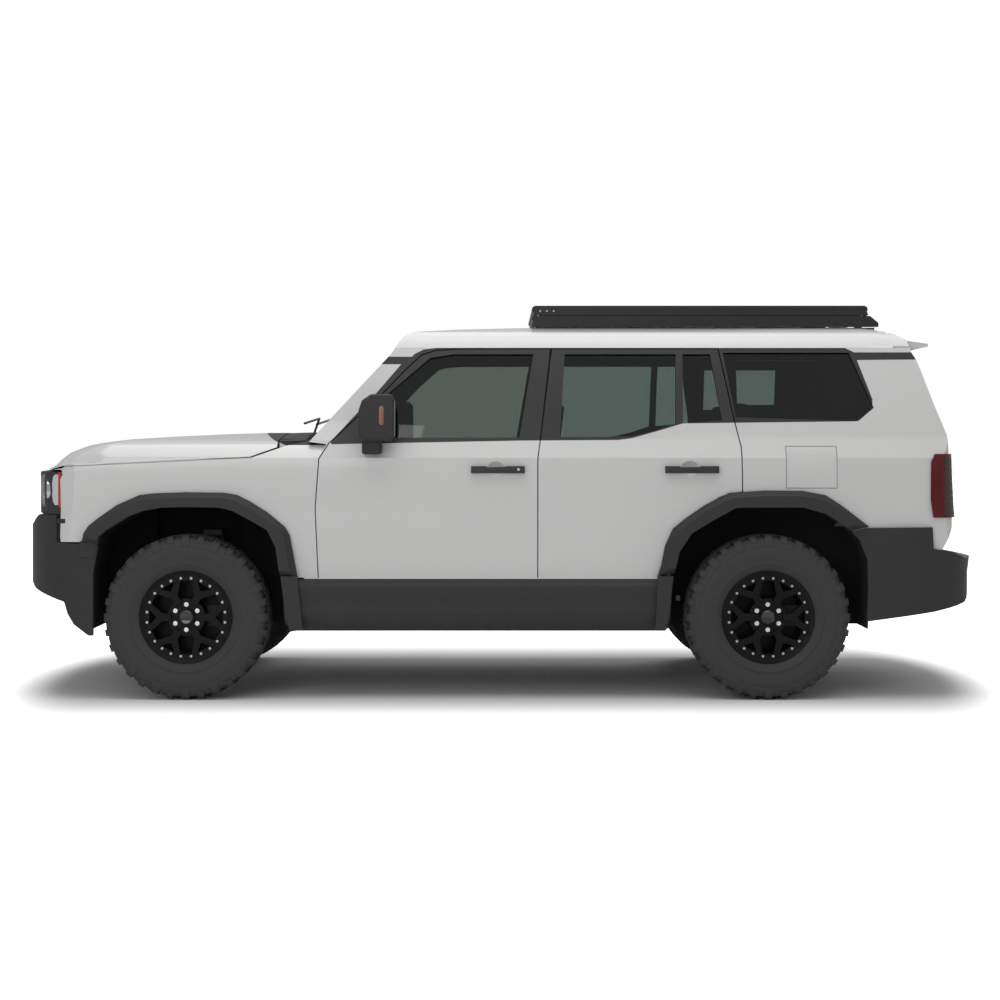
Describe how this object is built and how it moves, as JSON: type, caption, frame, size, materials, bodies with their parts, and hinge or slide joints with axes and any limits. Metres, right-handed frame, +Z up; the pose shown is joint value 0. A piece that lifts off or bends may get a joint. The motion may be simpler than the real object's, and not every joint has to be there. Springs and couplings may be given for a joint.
{
  "type": "lifted off-road 4x4",
  "caption": "Boxy off-road estate car with lifted suspension, all-terrain tyres, black cladding, roof rack, opening doors, bonnet and tailgate, and steered front wheels.",
  "frame": {"origin": "on the ground, in the middle of the bounding box", "axes": "+X rearward along the vehicle, +Y to its right side, +Z up; the front is at -X and the pictured left side at -Y"},
  "size_m": [4.9252, 2.164, 1.948],
  "materials": {
    "white_paint": "gloss",
    "tinted_glass": "polished",
    "clear_glass": "polished",
    "headlamp_lens": "polished",
    "taillamp_lens": "gloss",
    "tyre_rubber": "matte",
    "black_alloy": "satin",
    "machined_iron": "machined",
    "cast_steel": "as cast",
    "frame_paint": "satin",
    "cast_alloy": "as cast",
    "pipe_steel": "dull",
    "black_plastic": "matte",
    "cladding_plastic": "grained",
    "rack_powder_coat": "powder coat",
    "underbody_paint": "satin",
    "seat_fabric": "woven"
  },
  "bodies": {
    "vehicle": {"arch_liners": "black_plastic", "body_side_left": "white_paint", "body_side_right": "white_paint", "chassis_frame": "frame_paint", "cowl": "black_plastic", "dashboard": "black_plastic", "driveline": "cast_steel", "engine_block": "cast_alloy", "exhaust": "pipe_steel", "fender_left": "white_paint", "fender_right": "white_paint", "floor_pan": "underbody_paint", "front_bumper": "cladding_plastic", "front_seats": "seat_fabric", "front_suspension": "cast_steel", "fuel_tank": "black_plastic", "grille": "cladding_plastic", "headlamps": "headlamp_lens", "quarter_glass": "tinted_glass", "rear_axle": "cast_steel", "rear_bench": "seat_fabric", "rear_bumper": "cladding_plastic", "rocker_panels": "cladding_plastic", "roof_panel": "white_paint", "roof_rack": "rack_powder_coat", "taillamps": "taillamp_lens", "tow_receiver": "frame_paint", "wheel_flares": "cladding_plastic", "windshield": "clear_glass", "wipers": "black_plastic"},
    "steer_left": {"knuckle_left": "cast_steel"},
    "steer_right": {"knuckle_right": "cast_steel"},
    "wheel_front_left": {"tyre_front_left": "tyre_rubber", "rim_front_left": "black_alloy", "brake_disc_front_left": "machined_iron"},
    "wheel_front_right": {"tyre_front_right": "tyre_rubber", "rim_front_right": "black_alloy", "brake_disc_front_right": "machined_iron"},
    "wheel_rear_left": {"tyre_rear_left": "tyre_rubber", "rim_rear_left": "black_alloy", "brake_disc_rear_left": "machined_iron"},
    "wheel_rear_right": {"tyre_rear_right": "tyre_rubber", "rim_rear_right": "black_alloy", "brake_disc_rear_right": "machined_iron"},
    "front_left_door": {"door_front_left": "white_paint", "door_glass_front_left": "tinted_glass", "mirror_left": "cladding_plastic"},
    "front_right_door": {"door_front_right": "white_paint", "door_glass_front_right": "tinted_glass", "mirror_right": "cladding_plastic"},
    "rear_left_door": {"door_rear_left": "white_paint", "door_glass_rear_left": "tinted_glass"},
    "rear_right_door": {"door_rear_right": "white_paint", "door_glass_rear_right": "tinted_glass"},
    "rack": {"steering_rack": "cast_steel"},
    "hand_wheel": {"steering_wheel": "black_plastic"},
    "bonnet_lid": {"bonnet": "white_paint"},
    "tailgate_lid": {"tailgate": "white_paint", "tailgate_glass": "tinted_glass"},
    "flap": {"fuel_flap": "white_paint"}
  },
  "joints": [
    {"name": "steer_left", "type": "hinge", "parent": "vehicle", "child": "steer_left", "pos_m": [-1.56, -0.78, 0.403], "axis": [0, 0, 1], "range_deg": [-31, 31]},
    {"name": "steer_right", "type": "hinge", "parent": "vehicle", "child": "steer_right", "pos_m": [-1.56, 0.78, 0.403], "axis": [0, 0, 1], "range_deg": [-31, 31]},
    {"name": "rack_slide", "type": "slide", "parent": "vehicle", "child": "rack", "axis": [0, 1, 0], "range_m": [-0.056, 0.056]},
    {"name": "steering_wheel_turn", "type": "hinge", "parent": "vehicle", "child": "hand_wheel", "pos_m": [-0.4428, -0.438, 1.155], "axis": [0.9063, 0, 0.4226], "range_deg": [-500, 500]},
    {"name": "wheel_front_left_spin", "type": "hinge", "parent": "steer_left", "child": "wheel_front_left", "pos_m": [-1.56, -0.845, 0.403], "axis": [0, 1, 0], "continuous": true},
    {"name": "wheel_front_right_spin", "type": "hinge", "parent": "steer_right", "child": "wheel_front_right", "pos_m": [-1.56, 0.845, 0.403], "axis": [0, 1, 0], "continuous": true},
    {"name": "wheel_rear_left_spin", "type": "hinge", "parent": "vehicle", "child": "wheel_rear_left", "pos_m": [1.29, -0.845, 0.403], "axis": [0, 1, 0], "continuous": true},
    {"name": "wheel_rear_right_spin", "type": "hinge", "parent": "vehicle", "child": "wheel_rear_right", "pos_m": [1.29, 0.845, 0.403], "axis": [0, 1, 0], "continuous": true},
    {"name": "front_left_door_hinge", "type": "hinge", "parent": "vehicle", "child": "front_left_door", "pos_m": [-0.92552, -0.9465, 1.1], "axis": [0, 0, -1], "range_deg": [0, 65]},
    {"name": "front_right_door_hinge", "type": "hinge", "parent": "vehicle", "child": "front_right_door", "pos_m": [-0.92552, 0.9465, 1.1], "axis": [0, 0, 1], "range_deg": [0, 65]},
    {"name": "rear_left_door_hinge", "type": "hinge", "parent": "vehicle", "child": "rear_left_door", "pos_m": [0.16518, -0.9465, 1.1], "axis": [0, 0, -1], "range_deg": [0, 65]},
    {"name": "rear_right_door_hinge", "type": "hinge", "parent": "vehicle", "child": "rear_right_door", "pos_m": [0.16518, 0.9465, 1.1], "axis": [0, 0, 1], "range_deg": [0, 65]},
    {"name": "bonnet_hinge", "type": "hinge", "parent": "vehicle", "child": "bonnet_lid", "pos_m": [-1.12082, 0, 1.3085], "axis": [0, 1, 0], "range_deg": [0, 50]},
    {"name": "tailgate_hinge", "type": "hinge", "parent": "vehicle", "child": "tailgate_lid", "pos_m": [1.9401, 0, 1.826], "axis": [0, -1, 0], "range_deg": [0, 75]},
    {"name": "fuel_flap_hinge", "type": "hinge", "parent": "vehicle", "child": "flap", "pos_m": [1.38375, -0.9465, 1.137], "axis": [0, 0, -1], "range_deg": [0, 90]}
  ],
  "couplings": [
    {"joint": "steer_right", "follows": "steer_left", "ratio": 1},
    {"joint": "rack_slide", "follows": "steer_left", "m_per_rad": -0.1},
    {"joint": "steering_wheel_turn", "follows": "steer_left", "ratio": 16}
  ]
}
